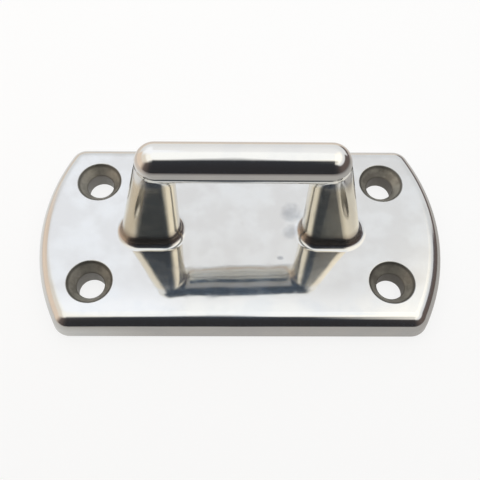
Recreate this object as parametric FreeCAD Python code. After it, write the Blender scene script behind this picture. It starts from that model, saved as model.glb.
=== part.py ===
"""Cast stainless steel eye plate: a thick plate with a closed staple and four countersunk holes."""
import FreeCAD
import Part
import math
import os

from FreeCAD import Vector

# Sizes in millimetres. The origin is on the underside, at the centre of the plate.
# X runs along the bar, Y across the plate and Z up out of the mounting surface.

# Plate: a thick disc with two straight sides, so its ends are arcs
PLATE_LENGTH = 100.0
PLATE_WIDTH = 51.0
PLATE_THICKNESS = 6.4
END_ARC_RADIUS = 50.0
SIDE_DRAFT_DEG = 3.0
TOP_EDGE_RADIUS = 3.7
TOP_CORNER_RADIUS = 0.5
BOTTOM_CHAMFER = 0.4

# Holes for M6 countersunk screws
HOLE_SPACING_X = 72.0
HOLE_SPACING_Y = 28.0
BORE_DIAMETER = 6.7
SINK_DIAMETER = 11.0
SINK_ANGLE_DEG = 82.0
SINK_LIP_RADIUS = 0.4

# Staple: a round bar with ball ends on two legs, upright inside the eye and splayed outside it
EYE_WIDTH = 29.6
EYE_HEIGHT = 24.8
BAR_DIAMETER = 8.8
LEG_INSET = 0.3
LEG_SPLAY_DEG = 12.2
LEG_TOP_FILLET_RADIUS = 2.5
LEG_FOOT_FILLET_RADIUS = 1.9

# Sizes and places that follow. The legs stand back from the front and back of the bar by the inset.
LEG_DIAMETER = BAR_DIAMETER - 2 * LEG_INSET
BAR_AXIS_HEIGHT = PLATE_THICKNESS + EYE_HEIGHT + BAR_DIAMETER / 2
LEG_CENTRE_X = (EYE_WIDTH + LEG_DIAMETER) / 2
BAR_LENGTH = 2 * LEG_CENTRE_X + LEG_DIAMETER / math.cos(math.radians(LEG_SPLAY_DEG))
DRAFT_INSET = PLATE_THICKNESS * math.tan(math.radians(SIDE_DRAFT_DEG))
CORNER_RADIUS = TOP_CORNER_RADIUS + TOP_EDGE_RADIUS + DRAFT_INSET
TOLERANCE = 1e-4


def plate_outline(inset, height):
    """Outline of the plate at a height, moved inwards by inset: two end arcs, two sides, four corners."""
    arc_radius = END_ARC_RADIUS - inset
    corner_radius = CORNER_RADIUS - inset
    arc_centre_x = PLATE_LENGTH / 2 - END_ARC_RADIUS
    corner_y = PLATE_WIDTH / 2 - CORNER_RADIUS
    corner_x = arc_centre_x + math.sqrt((END_ARC_RADIUS - CORNER_RADIUS) ** 2 - corner_y ** 2)
    meet = math.atan2(corner_y, corner_x - arc_centre_x)
    side = math.pi / 2

    def on_end(angle, sx):
        x = arc_centre_x + arc_radius * math.cos(angle)
        return Vector(sx * x, arc_radius * math.sin(angle), height)

    def on_corner(angle, sx, sy):
        x = corner_x + corner_radius * math.cos(angle)
        y = corner_y + corner_radius * math.sin(angle)
        return Vector(sx * x, sy * y, height)

    curves = []
    for sx, sy in ((1, 1), (-1, 1), (-1, -1), (1, -1)):
        middle = (meet + side) / 2
        curves.append(Part.Arc(on_corner(meet, sx, sy), on_corner(middle, sx, sy), on_corner(side, sx, sy)))
    for sx in (1, -1):
        curves.append(Part.Arc(on_end(-meet, sx), on_end(0, sx), on_end(meet, sx)))
    for sy in (1, -1):
        curves.append(Part.LineSegment(on_corner(side, -1, sy), on_corner(side, 1, sy)))
    return Part.Wire(Part.__sortEdges__([curve.toShape() for curve in curves]))


def edges_in_plane(shape, height, half_length, centre_x=0):
    """Edges of shape that lie at a height, within half_length of centre_x along X."""
    found = []
    for edge in shape.Edges:
        box = edge.BoundBox
        level = abs(box.ZMin - height) < TOLERANCE and abs(box.ZMax - height) < TOLERANCE
        near = box.XMin > centre_x - half_length and box.XMax < centre_x + half_length
        if level and near:
            found.append(edge)
    return found


def make_plate():
    """Slab with drafted sides, a large rounding all round its top and a chamfer below."""
    base = plate_outline(0, 0)
    top = plate_outline(DRAFT_INSET, PLATE_THICKNESS)
    slab = Part.makeLoft([base, top], True, True)
    slab = slab.makeFillet(TOP_EDGE_RADIUS, edges_in_plane(slab, PLATE_THICKNESS, PLATE_LENGTH))
    return slab.makeChamfer(BOTTOM_CHAMFER, edges_in_plane(slab, 0, PLATE_LENGTH))


def make_leg():
    """Leg at +X: an upright round bar, one that splays outwards from the same head, and a flat web."""
    radius = LEG_DIAMETER / 2
    head = Vector(LEG_CENTRE_X, 0, BAR_AXIS_HEIGHT)
    foot = Vector(LEG_CENTRE_X, 0, PLATE_THICKNESS / 2)
    splay = (head.z - foot.z) * math.tan(math.radians(LEG_SPLAY_DEG))
    splayed_foot = foot + Vector(splay, 0, 0)
    upright = Part.makeCylinder(radius, (head - foot).Length, foot, head - foot)
    splayed = Part.makeCylinder(radius, (head - splayed_foot).Length, splayed_foot, head - splayed_foot)
    web = Part.Face(Part.makePolygon([head, foot, splayed_foot, head]))
    web.translate(Vector(0, -radius, 0))
    return upright.fuse([splayed, web.extrude(Vector(0, LEG_DIAMETER, 0))])


def make_bar():
    """Round bar along X with ball ends, which reach out to the line of the splayed legs."""
    radius = BAR_DIAMETER / 2
    centre = Vector(BAR_LENGTH / 2 - radius, 0, 0)
    tip = centre + Vector(radius, 0, 0)
    halfway = Vector(radius, 0, radius) * math.sqrt(0.5)
    rim = centre + Vector(0, 0, radius)
    top = Vector(0, 0, radius)
    profile = [
        Part.Arc(tip, centre + halfway, rim).toShape(),
        Part.makeLine(rim, top),
        Part.makeLine(top, Vector(0, 0, 0)),
        Part.makeLine(Vector(0, 0, 0), tip),
    ]
    half = Part.Face(Part.Wire(profile)).revolve(Vector(0, 0, 0), Vector(1, 0, 0), 360)
    bar = half.fuse(half.mirror(Vector(0, 0, 0), Vector(1, 0, 0))).removeSplitter()
    return bar.translate(Vector(0, 0, BAR_AXIS_HEIGHT))


def make_staple():
    """Bar and two legs, with a fillet along the whole seam between them."""
    leg = make_leg()
    bar = make_bar()
    staple = bar.fuse([leg, leg.mirror(Vector(0, 0, 0), Vector(1, 0, 0))])
    bar_faces = [face for face in staple.Faces if face.BoundBox.ZMax > BAR_AXIS_HEIGHT + TOLERANCE]
    leg_faces = [face for face in staple.Faces if face.BoundBox.ZMax < BAR_AXIS_HEIGHT + TOLERANCE]
    seam = []
    for edge in staple.Edges:
        on_bar = any(edge.isSame(other) for face in bar_faces for other in face.Edges)
        on_leg = any(edge.isSame(other) for face in leg_faces for other in face.Edges)
        if on_bar and on_leg:
            seam.append(edge)
    return staple.makeFillet(LEG_TOP_FILLET_RADIUS, seam)


def make_hole_cutter():
    """Solid that cuts one screw hole: a through bore with a conical seat."""
    overrun = 1.0
    bore_radius = BORE_DIAMETER / 2
    sink_radius = SINK_DIAMETER / 2
    slope = math.tan(math.radians(SINK_ANGLE_DEG / 2))
    seat_height = PLATE_THICKNESS - (sink_radius - bore_radius) / slope
    top = PLATE_THICKNESS + overrun
    profile = [
        Vector(0, 0, -overrun),
        Vector(bore_radius, 0, -overrun),
        Vector(bore_radius, 0, seat_height),
        Vector(sink_radius + overrun * slope, 0, top),
        Vector(0, 0, top),
    ]
    face = Part.Face(Part.makePolygon(profile + profile[:1]))
    return face.revolve(Vector(0, 0, 0), Vector(0, 0, 1), 360)


def make_eye_plate():
    """The whole casting: plate and staple joined by foot fillets, then drilled and countersunk."""
    body = make_plate().fuse(make_staple())
    feet = []
    for x in (-LEG_CENTRE_X, LEG_CENTRE_X):
        feet += edges_in_plane(body, PLATE_THICKNESS, 2 * LEG_DIAMETER, x)
    body = body.makeFillet(LEG_FOOT_FILLET_RADIUS, feet)
    for x in (-HOLE_SPACING_X / 2, HOLE_SPACING_X / 2):
        for y in (-HOLE_SPACING_Y / 2, HOLE_SPACING_Y / 2):
            body = body.cut(make_hole_cutter().translate(Vector(x, y, 0)))
            rim = edges_in_plane(body, PLATE_THICKNESS, SINK_DIAMETER, x)
            rim = [edge for edge in rim if edge.BoundBox.YMin * y > 0]
            body = body.makeFillet(SINK_LIP_RADIUS, rim)
    return body.Solids[0]


if __name__ == "__main__":
    os.makedirs("parts", exist_ok=True)
    eye_plate = make_eye_plate()
    eye_plate.exportStep("parts/eye_plate.step")
    print("eye_plate", eye_plate.isValid(), len(eye_plate.Solids), round(eye_plate.Volume, 1))
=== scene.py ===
import math

import bpy
from mathutils import Matrix, Vector

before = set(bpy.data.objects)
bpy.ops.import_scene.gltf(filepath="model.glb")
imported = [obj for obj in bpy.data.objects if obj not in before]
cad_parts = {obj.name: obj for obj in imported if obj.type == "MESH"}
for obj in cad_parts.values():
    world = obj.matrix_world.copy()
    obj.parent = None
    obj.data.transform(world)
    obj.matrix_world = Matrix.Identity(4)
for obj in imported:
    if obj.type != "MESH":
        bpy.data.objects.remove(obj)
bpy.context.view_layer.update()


# The steel's finish. One casting of stainless steel, ground and mirror polished by hand all over.
# The screw seats are cut after polishing and stay matt.
class Signal:
    """One socket in a node tree. Sums and products of signals add their Math nodes."""

    def __init__(self, graph, socket):
        self.graph = graph
        self.socket = socket

    def math(self, operation, first, second=0.0):
        return self.graph.node("ShaderNodeMath", {"operation": operation}, {0: first, 1: second})

    def __add__(self, other):
        return self.math("ADD", self, other)

    def __radd__(self, other):
        return self.math("ADD", other, self)

    def __sub__(self, other):
        return self.math("SUBTRACT", self, other)

    def __rsub__(self, other):
        return self.math("SUBTRACT", other, self)

    def __mul__(self, other):
        return self.math("MULTIPLY", self, other)

    def __rmul__(self, other):
        return self.math("MULTIPLY", other, self)

    def __truediv__(self, other):
        return self.math("DIVIDE", self, other)

    def __pow__(self, power):
        return self.math("POWER", self, power)

    def __abs__(self):
        return self.math("ABSOLUTE", self)


class Graph:
    """The node tree of a material or of the world."""

    def __init__(self, owner):
        owner.use_nodes = True
        self.tree = owner.node_tree
        self.tree.nodes.clear()

    def node(self, kind, settings=None, inputs=None, output=0):
        made = self.tree.nodes.new(kind)
        for name, value in (settings or {}).items():
            setattr(made, name, value)
        for name, value in (inputs or {}).items():
            if isinstance(value, Signal):
                self.tree.links.new(value.socket, made.inputs[name])
            else:
                made.inputs[name].default_value = value
        return Signal(self, made.outputs[output]) if len(made.outputs) else made

    def bump(self, height):
        """Normal of a surface with a height in metres."""
        return self.node("ShaderNodeBump", inputs={"Strength": 1.0, "Distance": 1.0, "Height": height})

    def noise(self, place, size, detail=2.0, roughness=0.5):
        """Soft noise from 0 to 1 whose patches are about as large as size."""
        return self.node("ShaderNodeTexNoise", inputs={
            "Vector": place, "Scale": 1 / size, "Detail": detail, "Roughness": roughness})

    def step(self, value, start, end):
        """0 before start and 1 after end, with a soft change between them."""
        ends = {"From Min": start, "From Max": end, "To Min": 0.0, "To Max": 1.0}
        return self.node("ShaderNodeMapRange", {"interpolation_type": "SMOOTHSTEP"}, {"Value": value, **ends})

    def band(self, value, start, full, fade, end):
        """0 before start, 1 from full to fade, and 0 again after end."""
        return self.step(value, start, full) * (1 - self.step(value, fade, end))

    def blend(self, share, first, second):
        """Colour that goes from first to second as share goes from 0 to 1."""
        return self.node("ShaderNodeMix", {"data_type": "RGBA"}, {0: share, 6: first, 7: second}, output=2)

    def join(self, share, first, second):
        """Shader that goes from first to second as share goes from 0 to 1."""
        return self.node("ShaderNodeMixShader", inputs={0: share, 1: first, 2: second})


MM = 0.001
PLATE_TOP = 6.4 * MM
BAR_BOTTOM = 31.2 * MM
EYE_EDGE = 14.8 * MM
HOLE_X, HOLE_Y = 36 * MM, 14 * MM
SEAT_RADIUS, BORE_RADIUS = 5.5 * MM, 3.35 * MM

STEEL = (0.72, 0.715, 0.70, 1)
STEEL_CLOUD = (0.69, 0.69, 0.685, 1)
# Painted reflection: the plate's top is painted greyer than the steel, and its cloud tone varies at random
PLATE_PAINTED_REFLECTION = (0.60, 0.59, 0.575, 1)
PLATE_CLOUD_PAINTED_REFLECTION = (0.66, 0.65, 0.63, 1)
# Painted reflection: the legs are painted a warmer tone than the steel
LEG_PAINTED_REFLECTION = (0.80, 0.735, 0.60, 1)
WORN_STEEL = (0.32, 0.32, 0.32, 1)
# Painted shade: dark brown where the legs meet the plate
FOOT_PAINTED_SHADE = (0.30, 0.235, 0.18, 1)
# The haze is faint and real, but its blue tint is a painted blue reflection
HAZE_PAINTED_BLUE = (0.50, 0.72, 1.0, 1)

# Cloudiness of the polish: the size of its patches, and where in the noise each kind starts and is full
CLOUD_SIZE, SMEAR_SIZE = 7 * MM, 2.4 * MM
STEEL_CLOUDS = 0.42, 0.68
PLATE_CLOUDS = 0.36, 0.66
HAZE_CLOUDS = 0.35, 0.7
SMEARS = 0.45, 0.75

# Hand polishing leaves the surface a little wavy, and the plate twisted by TWIST times x times y
WAVE_SIZE, WAVE_HEIGHT = 15 * MM, 0.14 * MM
RIPPLE_SIZE, RIPPLE_HEIGHT = 3.2 * MM, 0.008 * MM
TWIST = 0.5

# Roughness of the mirror, and what each place adds to it
MIRROR = 0.05
SMEAR_ADDS, LEG_ADDS, LOW_SIDE_ADDS, SHOULDER_ADDS, FOOT_ADDS = 0.05, 0.08, 0.12, 0.04, 0.08

# Share of haze all over, what the plate's top adds, and what its clouds add to that
HAZE_ALL, HAZE_TOP, HAZE_TOP_CLOUDS = 0.025, 0.05, 0.05
HAZE_ROUGHNESS = 0.5

# How far in front of the middle the plate's painted grey reflection tone fades out, how high its dull side
# reaches, and how strong the painted brown shade round the feet is
FRONT_STRIP = 14 * MM, 21 * MM
LOW_SIDE = 2.2 * MM, 3.0 * MM
FOOT_SHADE_STRENGTH = 0.8

# Worn marks on the plate: centre along and across, half length along and across, in mm, and strength
MARKS = (
    (12.6, 5.2, 2.6, 2.6, 0.75),
    (12.4, -0.4, 2.2, 2.0, 0.6),
    (9.4, -7.6, 0.9, 0.6, 0.9),
)
MARK_RAGGED = 1.6
MARK_EDGE = -0.3, 1.5


def polished_steel(graph, place, x, y, z):
    """Mirror under a faint haze tinted with painted blue reflection, marked on the plate, with painted
    reflection tones, greyer on the plate and warmer on the legs, and painted brown shade at the feet.
    """
    cloud = graph.noise(place, CLOUD_SIZE, 3.0, 0.55)
    smear = graph.noise(place, SMEAR_SIZE, 2.0, 0.5)
    wave = graph.noise(place, WAVE_SIZE, 1.0, 0.4)
    ripple = graph.noise(place, RIPPLE_SIZE, 1.0, 0.4)
    lay = graph.bump(wave * WAVE_HEIGHT + ripple * RIPPLE_HEIGHT + TWIST * x * y)

    over_plate, over_eye = z - PLATE_TOP, z - BAR_BOTTOM
    on_top = graph.band(over_plate, -0.6 * MM, -0.05 * MM, 0.2 * MM, 1.2 * MM)
    foot = graph.band(over_plate, 0.1 * MM, 0.4 * MM, 2 * MM, 4 * MM)
    # Painted brown shade in the crease where the legs meet the plate
    foot_painted_shade = graph.band(over_plate, 0.15 * MM, 0.5 * MM, 2.2 * MM, 6 * MM)
    leg = graph.step(over_plate, 0, 1.5 * MM) * (1 - graph.step(over_eye, -MM, 2 * MM))
    shoulder = graph.step(abs(x), EYE_EDGE - 1.8 * MM, EYE_EDGE + 1.2 * MM)
    shoulder = shoulder * graph.band(over_eye, -0.9 * MM, 0.2 * MM, 0.8 * MM, 3.8 * MM)
    low_side = 1 - graph.step(z, *LOW_SIDE)

    colour = graph.blend(graph.step(cloud, *STEEL_CLOUDS), STEEL, STEEL_CLOUD)
    # Painted reflection: the plate's top is painted a greyer tone, which fades out in front of the middle
    plate_painted_reflection = graph.blend(graph.step(cloud, *PLATE_CLOUDS), PLATE_PAINTED_REFLECTION, PLATE_CLOUD_PAINTED_REFLECTION)
    colour = graph.blend(on_top * (1 - graph.step(0 - y, *FRONT_STRIP)), colour, plate_painted_reflection)
    for centre_x, centre_y, half_x, half_y, strength in MARKS:
        off_x = (x - centre_x * MM) / (half_x * MM)
        off_y = (y - centre_y * MM) / (half_y * MM)
        away = off_x * off_x + off_y * off_y + MARK_RAGGED * (smear - 0.5)
        colour = graph.blend(on_top * strength * (1 - graph.step(away, *MARK_EDGE)), colour, WORN_STEEL)
    # Painted reflection: the legs are painted warmer
    colour = graph.blend(leg, colour, LEG_PAINTED_REFLECTION)
    # Painted brown shade round the feet
    colour = graph.blend(FOOT_SHADE_STRENGTH * foot_painted_shade, colour, FOOT_PAINTED_SHADE)

    roughness = MIRROR + SMEAR_ADDS * graph.step(smear, *SMEARS) + LEG_ADDS * leg
    roughness = roughness + LOW_SIDE_ADDS * low_side + SHOULDER_ADDS * shoulder + FOOT_ADDS * foot
    mirror = graph.node("ShaderNodeBsdfPrincipled", inputs={
        "Base Color": colour, "Metallic": 1.0, "Roughness": roughness, "Normal": lay})
    # The haze film's blue colour is a painted blue reflection
    film = graph.node("ShaderNodeBsdfPrincipled", inputs={
        "Base Color": HAZE_PAINTED_BLUE, "Metallic": 1.0, "Roughness": HAZE_ROUGHNESS, "Normal": lay})
    haze = HAZE_ALL + on_top * (HAZE_TOP + HAZE_TOP_CLOUDS * graph.step(cloud, *HAZE_CLOUDS))
    return graph.join(haze, mirror, film)


SEAT = (0.42, 0.41, 0.37, 1)
SEAT_DULL = (0.29, 0.28, 0.255, 1)
# Painted reflection: a dark ring at the outer rim of each seat
SEAT_RIM_PAINTED_REFLECTION = (0.13, 0.13, 0.12, 1)
# Painted shade: the bore inside each hole is painted darker
BORE_PAINTED_SHADE = (0.21, 0.20, 0.185, 1)
CUT_METALLIC = 0.75
CUT_ROUGHNESS, CUT_ROUGHNESS_RANGE = 0.40, 0.2
CUT_SIZE, CUT_HEIGHT = 0.8 * MM, 0.02 * MM
PATCH_SIZE = 2.6 * MM
SEAT_PATCHES = 0.38, 0.66
TOOL_PITCH, TOOL_HEIGHT = 0.16 * MM, 0.003 * MM
RIM_REFLECTION_STRENGTH = 0.85


def cut_steel(graph, place, radius):
    """Seats and bores as the countersink leaves them: matt, patchy, with fine rings, a painted dark
    reflection at the rim and painted shade in the bore.
    """
    rings = graph.node("ShaderNodeMath", {"operation": "SINE"}, {0: radius * (math.tau / TOOL_PITCH)})
    cut = graph.noise(place, CUT_SIZE, 3.0, 0.6)
    patch = graph.noise(place, PATCH_SIZE, 3.0, 0.6)
    # Painted dark reflection at the seat's rim
    rim_reflection = graph.step(radius, SEAT_RADIUS - 0.75 * MM, SEAT_RADIUS - 0.25 * MM)
    # Painted shade in the bore, darker below the seat
    bore_shade = 1 - graph.step(radius, BORE_RADIUS, BORE_RADIUS + 0.35 * MM)
    colour = graph.blend(graph.step(patch, *SEAT_PATCHES), SEAT, SEAT_DULL)
    colour = graph.blend(RIM_REFLECTION_STRENGTH * rim_reflection, colour, SEAT_RIM_PAINTED_REFLECTION)
    return graph.node("ShaderNodeBsdfPrincipled", inputs={
        "Base Color": graph.blend(bore_shade, colour, BORE_PAINTED_SHADE), "Metallic": CUT_METALLIC,
        "Roughness": CUT_ROUGHNESS + CUT_ROUGHNESS_RANGE * cut,
        "Normal": graph.bump(rings * TOOL_HEIGHT + cut * CUT_HEIGHT)})


def steel_finish():
    """Polished steel all over, but cut steel within each seat's radius of its hole."""
    material = bpy.data.materials.new("polished_steel")
    graph = Graph(material)
    place = graph.node("ShaderNodeTexCoord", output=3)
    axes = graph.node("ShaderNodeSeparateXYZ", inputs={"Vector": place}).socket.node.outputs
    x, y, z = (Signal(graph, axis) for axis in axes)
    across, along = abs(x) - HOLE_X, abs(y) - HOLE_Y
    radius = (across * across + along * along) ** 0.5
    seat = 1 - graph.step(radius, SEAT_RADIUS - 0.05 * MM, SEAT_RADIUS + 0.2 * MM)
    surface = graph.join(seat, polished_steel(graph, place, x, y, z), cut_steel(graph, place, radius))
    graph.node("ShaderNodeOutputMaterial", inputs={"Surface": surface})
    return material


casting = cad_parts["eye_plate"]
casting.material_slots[0].material = steel_finish()


# The floor. A sheet of white board under the part, in a white room. The camera sees it mostly as a plain
# white backdrop, and the metal mirrors it in set tones: grey at the front and right, where the tent is
# open on a dark room, and white to warm behind. Distances are in metres and azimuths in degrees.
BOARD_WHITE = (0.93, 0.93, 0.93, 1)
BACKDROP_SHARE = 0.82
MIRRORED_WHITE = (0.90, 0.90, 0.88)
MIRRORED_REAR = (0.80, 0.69, 0.60)
REAR_FROM, REAR_TO = 0.05, 0.10
MIRRORED_NEAR = (0.50, 0.48, 0.455)
MIRRORED_FAR = (0.22, 0.20, 0.19)
FAR_FROM, FAR_TO = 0.07, 0.19
GREY_SIDES = (-62, 125)
GREY_SOFT = 60
FLOOR_RINGS = (0, 0.02, 0.04, 0.06, 0.08, 0.1, 0.13, 0.16, 0.2, 0.26, 3.0)
FLOOR_COLUMNS = 120


def smooth(value):
    value = min(max(value, 0), 1)
    return value * value * (3 - 2 * value)


def ramp(value, start, end):
    """0 before start and 1 after end, with a soft change between them."""
    return smooth((value - start) / (end - start))


def between(value, start, end, soft):
    """1 between start and end, 0 outside them, with an edge as wide as soft."""
    return smooth((value - start) / soft + 0.5) * smooth((end - value) / soft + 0.5)


def mix(first, second, share):
    return tuple(a + (b - a) * share for a, b in zip(first, second))


def around(azimuth, elevation):
    """Direction given by its azimuth from the front, to the right, and its elevation."""
    a, e = math.radians(azimuth), math.radians(elevation)
    return Vector((math.sin(a) * math.cos(e), -math.cos(a) * math.cos(e), math.sin(e)))


def make_room():
    world = bpy.data.worlds.new("white_room")
    bpy.context.scene.world = world
    graph = Graph(world)
    light = graph.node("ShaderNodeBackground", inputs={"Color": (1, 1, 1, 1), "Strength": 1.0})
    graph.node("ShaderNodeOutputWorld", inputs={"Surface": light})


def put(name, points, faces, material, lights):
    """A sheet that isn't part of the object, with the light that its points show."""
    mesh = bpy.data.meshes.new(name)
    mesh.from_pydata(points, [], faces)
    mesh.attributes.new("light", "FLOAT_COLOR", "POINT").data.foreach_set("color", lights)
    mesh.materials.append(material)
    made = bpy.data.objects.new(name, mesh)
    bpy.context.scene.collection.objects.link(made)
    return made


def round_grid(rows, columns):
    """Faces between rows of points that each go once round."""
    faces = []
    for row in range(rows - 1):
        for column in range(columns):
            first, second = row * columns + column, row * columns + (column + 1) % columns
            faces.append((first, second, second + columns, first + columns))
    return faces


def glow(graph):
    """Light of the colour that the sheet's points carry."""
    light = graph.node("ShaderNodeAttribute", {"attribute_name": "light"})
    return graph.node("ShaderNodeEmission", inputs={"Color": light, "Strength": 1.0})


def board():
    """White board in its own light, mostly plain white to the camera, and set tones to what mirrors it."""
    material = bpy.data.materials.new("white_board")
    graph = Graph(material)
    outputs = graph.node("ShaderNodeLightPath").socket.node.outputs
    mirrored = Signal(graph, outputs["Is Glossy Ray"]) + Signal(graph, outputs["Is Transmission Ray"])
    paper = graph.node("ShaderNodeBsdfPrincipled", inputs={
        "Base Color": BOARD_WHITE, "Roughness": 0.9, "Specular IOR Level": 0.1})
    backdrop = graph.node("ShaderNodeEmission", inputs={"Color": (1, 1, 1, 1), "Strength": 1.0})
    surface = graph.join(BACKDROP_SHARE * Signal(graph, outputs["Is Camera Ray"]), paper, backdrop)
    graph.node("ShaderNodeOutputMaterial", inputs={"Surface": graph.join(mirrored, surface, glow(graph))})
    return material


def floor_light(azimuth, distance):
    """Tone that the metal mirrors of the floor, by direction and distance from the part's middle."""
    front = mix(MIRRORED_NEAR, MIRRORED_FAR, ramp(distance, FAR_FROM, FAR_TO))
    rear = mix(MIRRORED_WHITE, MIRRORED_REAR, ramp(distance, REAR_FROM, REAR_TO))
    return mix(rear, front, between(azimuth, *GREY_SIDES, GREY_SOFT))


def lay_floor():
    points, lights = [], []
    for distance in FLOOR_RINGS:
        for column in range(FLOOR_COLUMNS):
            azimuth = 360 * column / FLOOR_COLUMNS - 180
            points.append(around(azimuth, 0) * distance)
            lights.extend((*floor_light(azimuth, distance), 1))
    put("floor", points, round_grid(len(FLOOR_RINGS), FLOOR_COLUMNS), board(), lights)


make_room()
lay_floor()


# The light tent. A white cloth dome with the lamps outside it, so polished steel mirrors a soft even white.
# Its front is open on a dark room, and panels of warm and brown card stand inside it. Each patch gives its
# azimuths from the front to the right, its elevations, how soft its edges are, all in degrees, and its light.
TENT_RADIUS = 0.26
TENT_CENTRE = Vector((0, 0, 0.02))
TENT_COLUMNS, TENT_ROWS = 180, 51
CLOTH_WHITE = (1.0, 1.0, 0.99)
PATCHES = (
    ((120, 240), (38, 200), (50, 40), (1.17, 1.16, 1.15)),
    ((196, 250), (30, 200), (22, 30), (1.29, 1.30, 1.33)),
    ((-115, -15), (42, 200), (32, 20), (1.34, 1.30, 1.20)),
    ((20, 126), (42, 200), (32, 20), (1.60, 1.52, 1.36)),
    ((-400, 400), (69, 200), (1, 5), (1.34, 1.34, 1.31)),
    ((-112, -45), (24, 48), (26, 14), (1.02, 0.92, 0.78)),
    ((126, 234), (-9, 5), (16, 9), (0.92, 0.80, 0.66)),
    ((-126, 30), (-9, 26), (16, 9), (0.98, 0.80, 0.64)),
    ((-30, 150), (-9, 9), (16, 6), (0.16, 0.125, 0.115)),
    ((50, 113), (-9, 26), (6, 8), (0.15, 0.115, 0.105)),
)
OPENING_LOW, OPENING_RISE = 24, 51
OPENING_LEFT, OPENING_RIGHT = 56, 35
OPENING_SIDES = (-66, 108)
OPENING_SIDE_SOFT = 26
OPENING_EDGE_LOW, OPENING_EDGE_TOP = 11, 30
ROOM_DARK = (0.036, 0.034, 0.036)
ROOM_BROWN = (0.155, 0.12, 0.105)
BROWN_FROM, BROWN_TO = 18, 62
STAND_PLACE = (1, 60)
STAND_HALF = (22, 8)
STAND_SOFT = 0.7
STAND_SQUARENESS = 3


def opening_cover(azimuth, elevation):
    """How much of the tent's dark opening shows: a wide low gap that rises to a dome in its middle."""
    rise = math.exp(-(azimuth / (OPENING_RIGHT if azimuth > 0 else OPENING_LEFT)) ** 2)
    top = OPENING_LOW + OPENING_RISE * rise
    edge = OPENING_EDGE_LOW + (OPENING_EDGE_TOP - OPENING_EDGE_LOW) * rise
    return smooth((top - elevation) / edge + 0.5) * between(azimuth, *OPENING_SIDES, OPENING_SIDE_SOFT)


def stand_cover(direction):
    """The dark head of the camera stand, a rounded oblong in the opening's top."""
    back = around(*STAND_PLACE)
    right = back.cross(Vector((0, 0, -1))).normalized()
    up = back.cross(right)
    x = math.degrees(math.atan2(direction.dot(right), direction.dot(back))) / STAND_HALF[0]
    y = math.degrees(math.atan2(direction.dot(up), direction.dot(back))) / STAND_HALF[1]
    away = (abs(x) ** STAND_SQUARENESS + abs(y) ** STAND_SQUARENESS) ** (1 / STAND_SQUARENESS)
    return smooth((1 - away) / (2 * STAND_SOFT) + 0.5)


def tent_light(azimuth, elevation):
    """What the metal mirrors in a direction: the cloth, then the cards, the opening and the stand."""
    colour = CLOTH_WHITE
    for (left, right), (low, high), (side_soft, end_soft), light in PATCHES:
        turn = (azimuth - left) % 360 + left if right > 180 else azimuth
        cover = between(turn, left, right, side_soft) * between(elevation, low, high, end_soft)
        colour = mix(colour, light, cover)
    room = mix(ROOM_DARK, ROOM_BROWN, ramp(abs(azimuth), BROWN_FROM, BROWN_TO))
    colour = mix(colour, room, opening_cover(azimuth, elevation))
    return mix(colour, ROOM_DARK, stand_cover(around(azimuth, elevation)))


def tent_cloth():
    material = bpy.data.materials.new("tent_cloth")
    graph = Graph(material)
    graph.node("ShaderNodeOutputMaterial", inputs={"Surface": glow(graph)})
    return material


def raise_tent():
    low = -math.degrees(math.asin(TENT_CENTRE.z / TENT_RADIUS))
    points, lights = [], []
    for row in range(TENT_ROWS):
        elevation = low + (90 - low) * row / (TENT_ROWS - 1)
        for column in range(TENT_COLUMNS):
            azimuth = 360 * column / TENT_COLUMNS - 180
            points.append(TENT_CENTRE + around(azimuth, elevation) * TENT_RADIUS)
            lights.extend((*tent_light(azimuth, elevation), 1))
    tent = put("light_tent", points, round_grid(TENT_ROWS, TENT_COLUMNS), tent_cloth(), lights)
    tent.visible_camera = False


raise_tent()


# The camera. It looks down on the part from the front at close range, turned a little about its own axis.
# The focal length and the picture's width are in pixels and the sensor in millimetres.
# The rest is in metres and degrees.
FOCAL = 715.87
PICTURE = 480
SENSOR = 36.0
AZIMUTH, ELEVATION, ROLL = -1.977, 61.609, 1.97
DISTANCE = 0.182609
AIM = Vector((-0.000115, 0.000704, 0))
NEAREST = 0.01


def place_camera():
    back = around(AZIMUTH, ELEVATION)
    right = (-back).cross(Vector((0, 0, 1))).normalized()
    up = right.cross(-back)
    roll = math.radians(ROLL)
    side = math.cos(roll) * right + math.sin(roll) * up
    top = -math.sin(roll) * right + math.cos(roll) * up
    centre = AIM + back * DISTANCE
    data = bpy.data.cameras.new("camera")
    data.sensor_width = SENSOR
    data.lens = FOCAL * SENSOR / PICTURE
    data.clip_start = NEAREST
    camera = bpy.data.objects.new("camera", data)
    rows = [(side[i], top[i], back[i], centre[i]) for i in range(3)]
    camera.matrix_world = Matrix((*rows, (0, 0, 0, 1)))
    bpy.context.scene.collection.objects.link(camera)
    bpy.context.scene.camera = camera


place_camera()
bpy.context.scene.view_settings.view_transform = "Standard"
